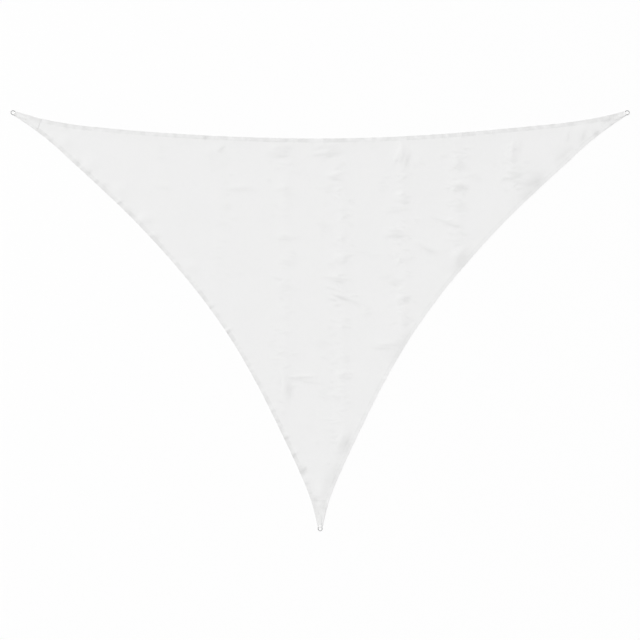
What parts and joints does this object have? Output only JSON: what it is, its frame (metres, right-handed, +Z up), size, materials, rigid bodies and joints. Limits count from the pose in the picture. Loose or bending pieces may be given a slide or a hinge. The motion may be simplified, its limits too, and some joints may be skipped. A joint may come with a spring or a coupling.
{
  "type": "shade sail",
  "caption": "Three-cornered cloth shade sail with hollow-cut, hemmed edges, and a steel ring on a webbing strap at each patched corner, laid out flat.",
  "frame": {"origin": "on the surface that the sail lies on, under the middle of its outer box", "axes": "+Z up out of the cloth's face, +X along the long edge, +Y from the single corner towards the long edge"},
  "size_m": [6.044, 4.109, 0.0096],
  "materials": {
    "sail_cloth": "white woven polyester, matt, coated on the back",
    "webbing": "white woven polyester webbing, matt with a faint sheen",
    "ring_steel": "stainless wire, polished by tumbling"
  },
  "bodies": {
    "root": {"sail_panel": "sail_cloth", "corner_patch_left": "sail_cloth", "corner_patch_right": "sail_cloth", "corner_patch_bottom": "sail_cloth", "ring_strap_left": "webbing", "ring_strap_right": "webbing", "ring_strap_bottom": "webbing", "ring_left": "ring_steel", "ring_right": "ring_steel", "ring_bottom": "ring_steel"}
  },
  "joints": []
}
